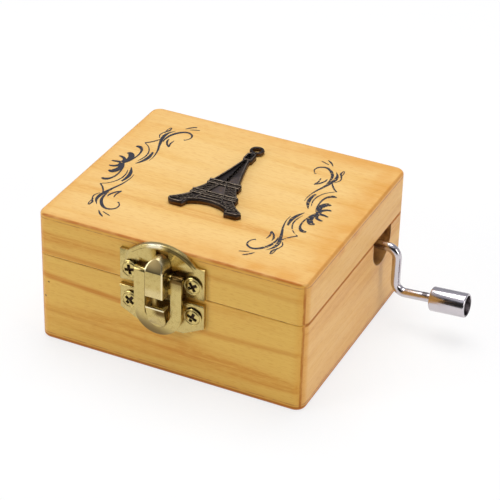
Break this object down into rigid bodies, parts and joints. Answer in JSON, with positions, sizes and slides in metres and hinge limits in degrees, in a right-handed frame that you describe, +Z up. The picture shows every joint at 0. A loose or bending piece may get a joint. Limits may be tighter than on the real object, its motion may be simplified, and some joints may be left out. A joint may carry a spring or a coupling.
{
  "type": "hand cranked music box",
  "caption": "Small wooden music box with a hinged lid, brass toggle latch and side hand crank that turns a worm, a pinned cylinder and a steel comb movement inside.",
  "frame": {"origin": "middle of the underside of the box", "axes": "+Z up, +X towards the crank, -Y towards the latch"},
  "size_m": [0.1068, 0.0779, 0.0422],
  "materials": {
    "wood": "varnished pale basswood, fine straight grain, satin",
    "latch_brass": "antique brass plate, dull, brighter at the edges",
    "latch_steel": "antique brass plated steel, satin",
    "hinge_brass": "brass plated steel, satin",
    "bronze": "antique bronze, dark in the hollows",
    "chrome": "nickel plated, polished",
    "zinc": "cast and bent zinc plated metal, satin",
    "screw_steel": "zinc plated steel",
    "comb_steel": "ground spring steel",
    "cylinder_brass": "turned brass, satin",
    "arbor_steel": "turned steel",
    "wheel_nylon": "off-white moulded nylon"
  },
  "bodies": {
    "base": {"bottom_board": "wood", "base_front_wall": "wood", "base_right_wall": "wood", "base_back_wall": "wood", "base_left_wall": "wood", "latch_base_plate": "latch_brass", "latch_base_screws": "latch_steel", "lever_rivets": "latch_steel", "left_hinge_base_leaf": "hinge_brass", "right_hinge_base_leaf": "hinge_brass", "left_hinge_pin": "hinge_brass", "right_hinge_pin": "hinge_brass", "base_hinge_nails": "hinge_brass", "movement_bed": "zinc", "comb": "comb_steel", "comb_screws": "screw_steel", "front_bearing": "zinc", "gear_bracket": "zinc", "bracket_screws": "screw_steel", "mounting_screws": "screw_steel"},
    "lid": {"top_board": "wood", "lid_front_wall": "wood", "lid_right_wall": "wood", "lid_back_wall": "wood", "lid_left_wall": "wood", "catch_plate": "latch_brass", "catch_plate_screws": "latch_steel", "tower_charm": "bronze", "left_hinge_lid_leaf": "hinge_brass", "right_hinge_lid_leaf": "hinge_brass", "lid_hinge_nails": "hinge_brass"},
    "lever": {"latch_lever": "latch_brass", "hook_pin": "latch_steel"},
    "hook": {"latch_hook": "latch_brass"},
    "crank": {"crank_wire": "chrome", "worm": "arbor_steel", "knob_washer": "chrome"},
    "knob": {"crank_knob": "chrome"},
    "cylinder": {"cylinder_drum": "cylinder_brass", "cylinder_caps": "cylinder_brass", "tune_pins": "cylinder_brass", "cylinder_arbor": "arbor_steel", "worm_wheel": "wheel_nylon"}
  },
  "joints": [
    {"name": "lid_hinge", "type": "hinge", "parent": "base", "child": "lid", "pos_m": [0, 0.036, 0.0273], "axis": [-1, 0, 0], "range_deg": [0, 105]},
    {"name": "latch_lever", "type": "hinge", "parent": "base", "child": "lever", "pos_m": [-0.0013, -0.0369, 0.0329], "axis": [-1, 0, 0], "range_deg": [0, 105]},
    {"name": "latch_hook", "type": "hinge", "parent": "lever", "child": "hook", "pos_m": [-0.0013, -0.0369, 0.0289], "axis": [-1, 0, 0], "range_deg": [-105, 0]},
    {"name": "crank_spin", "type": "hinge", "parent": "base", "child": "crank", "pos_m": [0.0448, 0.0183, 0.0238], "axis": [1, 0, 0], "continuous": true},
    {"name": "cylinder_spin", "type": "hinge", "parent": "base", "child": "cylinder", "pos_m": [0.008, 0.0022, 0.0154], "axis": [0, 1, 0], "continuous": true},
    {"name": "knob_spin", "type": "hinge", "parent": "crank", "child": "knob", "pos_m": [0.05599, 0.0183, 0.01076], "axis": [0.9976, 0, 0.0698], "continuous": true}
  ],
  "couplings": [
    {"joint": "latch_hook", "follows": "latch_lever", "ratio": -1},
    {"joint": "cylinder_spin", "follows": "crank_spin", "ratio": -0.05}
  ]
}
